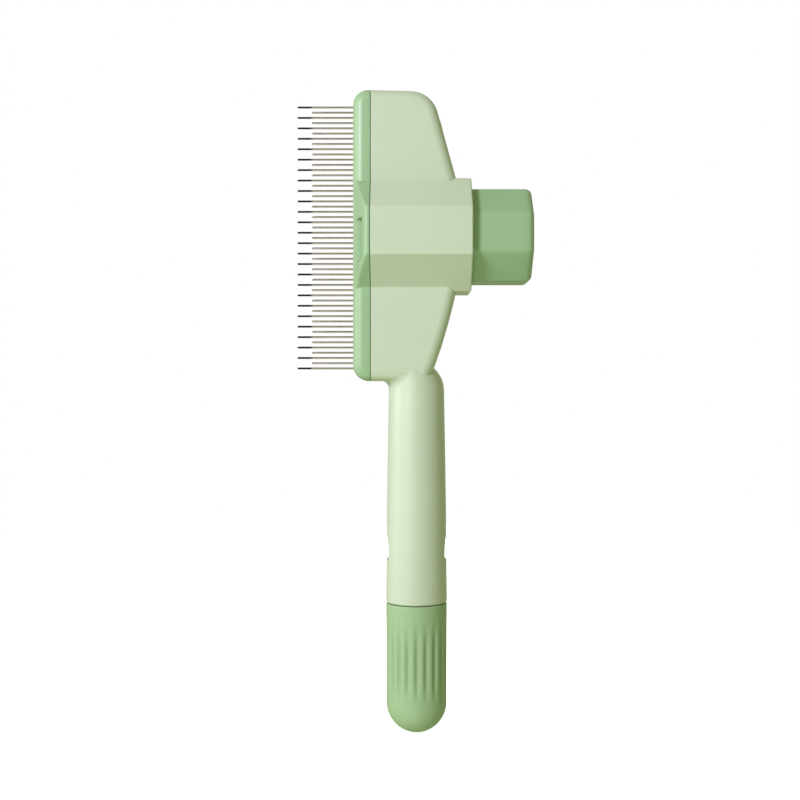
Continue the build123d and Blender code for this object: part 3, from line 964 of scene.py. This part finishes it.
class COMB_OT_screws(bpy.types.Operator):
    """Build the threaded screws with their cross recesses"""

    bl_idname = "comb.screws"
    bl_label = "Screws"

    def execute(self, context):
        sizes = context.scene.comb_sizes
        plated = zinc_plate("zinc_plated_screw", linear("#C2C4C2"), SCREW_ROUGHNESS)
        for node, body in SCREW_NODES.items():
            vertices, faces = screw_group(node, sizes.thread_pitch)
            add_piece(
                node + "_threaded", vertices, faces, body, node, plated, 40
            )
        return {"FINISHED"}


class COMB_OT_inner_parts(bpy.types.Operator):
    """Give the pieces inside the head their unpigmented plastic"""

    bl_idname = "comb.inner_parts"
    bl_label = "Inner parts"

    def execute(self, context):
        milky = natural_acetal("natural_moulded_acetal", context.scene.comb_colours.acetal)
        for name in ("pin_carrier", "pin_backing_bar", "spring_guide", "push_fork"):
            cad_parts[name].material_slots[0].material = milky
        return {"FINISHED"}


def add_stage_mesh(name, vertices, faces, material):
    """Links a mesh that isn't part of the comb."""
    mesh = bpy.data.meshes.new(name)
    mesh.from_pydata(vertices, [], faces)
    mesh.polygons.foreach_set("use_smooth", np.ones(len(mesh.polygons), dtype=bool))
    mesh.materials.append(material)
    stage = bpy.data.objects.new(name, mesh)
    bpy.context.scene.collection.objects.link(stage)
    return stage


def softbox(name, place, target, size, watts, colour):
    """A square area lamp at place, turned to the target and hidden from the camera."""
    lamp = bpy.data.lights.new(name, "AREA")
    lamp.shape = "SQUARE"
    lamp.size = size
    lamp.energy = watts
    lamp.color = colour
    holder = bpy.data.objects.new(name, lamp)
    holder.location = place
    holder.rotation_euler = (Vector(target) - Vector(place)).to_track_quat("-Z", "Y").to_euler()
    holder.visible_camera = False
    bpy.context.scene.collection.objects.link(holder)
    return holder


class COMB_OT_stage(bpy.types.Operator):
    """Set up the pale floor, the backdrop, the soft lights and the camera"""

    bl_idname = "comb.stage"
    bl_label = "Stage"

    def execute(self, context):
        scene = context.scene
        scene.view_settings.view_transform = "Standard"
        middle = (cad_low + cad_high) / 2

        world = bpy.data.worlds.new("studio_air")
        world.use_nodes = True
        air = world.node_tree.nodes["Background"]
        air.inputs["Color"].default_value = AIR_COLOUR
        air.inputs["Strength"].default_value = AIR_LIGHT
        scene.world = world

        paper = lit_paper("lit_background_paper", (0.93, 0.93, 0.93, 1.0), FLOOR_GLOW)
        rim = [(FLOOR_RADIUS * math.cos(a), FLOOR_RADIUS * math.sin(a), 0.0) for a in full_turn(96)]
        floor = add_stage_mesh("pale_floor", rim, [list(range(len(rim)))], paper)

        glow = new_material("evenly_lit_backdrop")
        light = add_node(glow, "ShaderNodeEmission", {"Strength": 1.0})
        add_node(glow, "ShaderNodeOutputMaterial", {"Surface": light.outputs["Emission"]})
        turn, rise = full_turn(48), np.radians(np.linspace(-88, 88, 25))
        ball = DOME_RADIUS * np.stack(
            [
                np.cos(rise)[:, None] * np.cos(turn),
                np.cos(rise)[:, None] * np.sin(turn),
                np.sin(rise)[:, None] + 0 * turn,
            ],
            axis=-1,
        )
        vertices, faces = closed_surface(ball)
        dome = add_stage_mesh("evenly_lit_backdrop", vertices.tolist(), faces, glow)
        for sheet in (floor, dome):
            for ray in ("diffuse", "glossy", "transmission", "volume_scatter", "shadow"):
                setattr(sheet, "visible_" + ray, False)

        target = (0.0, 0.0, middle.z)
        for name, (place, size, watts, colour, in_gloss) in SOFTBOXES.items():
            softbox(name, place, target, size, watts, colour).visible_glossy = in_gloss

        camera = bpy.data.cameras.new("product_camera")
        camera.sensor_width = 36.0
        camera.lens = CAMERA_LENS
        holder = bpy.data.objects.new("product_camera", camera)
        aim = Vector(CAMERA_AIM)
        holder.location = aim + Vector((0.0, -CAMERA_DISTANCE, 0.0))
        holder.rotation_euler = (aim - holder.location).to_track_quat("-Z", "Y").to_euler()
        scene.collection.objects.link(holder)
        scene.camera = holder
        return {"FINISHED"}


class COMB_PT_panel(bpy.types.Panel):
    """Sizes, colours and building steps of the comb"""

    bl_idname = "COMB_PT_panel"
    bl_label = "Grooming comb"
    bl_space_type = "VIEW_3D"
    bl_region_type = "UI"
    bl_category = "Comb"

    def draw(self, context):
        for group in (context.scene.comb_sizes, context.scene.comb_colours):
            for name in group.bl_rna.properties.keys():
                if name not in {"rna_type", "name"}:
                    self.layout.prop(group, name)
        for step in STEPS:
            self.layout.operator("comb." + step)


STEPS = (
    "housing",
    "end_cap",
    "pins",
    "stripper_plate",
    "button",
    "return_spring",
    "screws",
    "inner_parts",
    "stage",
)
CLASSES = (
    CombSizes,
    CombColours,
    COMB_OT_housing,
    COMB_OT_end_cap,
    COMB_OT_pins,
    COMB_OT_stripper_plate,
    COMB_OT_button,
    COMB_OT_return_spring,
    COMB_OT_screws,
    COMB_OT_inner_parts,
    COMB_OT_stage,
    COMB_PT_panel,
)


def register():
    """Registers the classes and gives the scene its sizes and colours."""
    for item in CLASSES:
        bpy.utils.register_class(item)
    bpy.types.Scene.comb_sizes = PointerProperty(type=CombSizes)
    bpy.types.Scene.comb_colours = PointerProperty(type=CombColours)


def unregister():
    """Takes back what register did."""
    del bpy.types.Scene.comb_colours
    del bpy.types.Scene.comb_sizes
    for item in reversed(CLASSES):
        bpy.utils.unregister_class(item)


def main():
    """Runs every step in order."""
    register()
    for step in STEPS:
        getattr(bpy.ops.comb, step)()


if __name__ == "__main__":
    main()
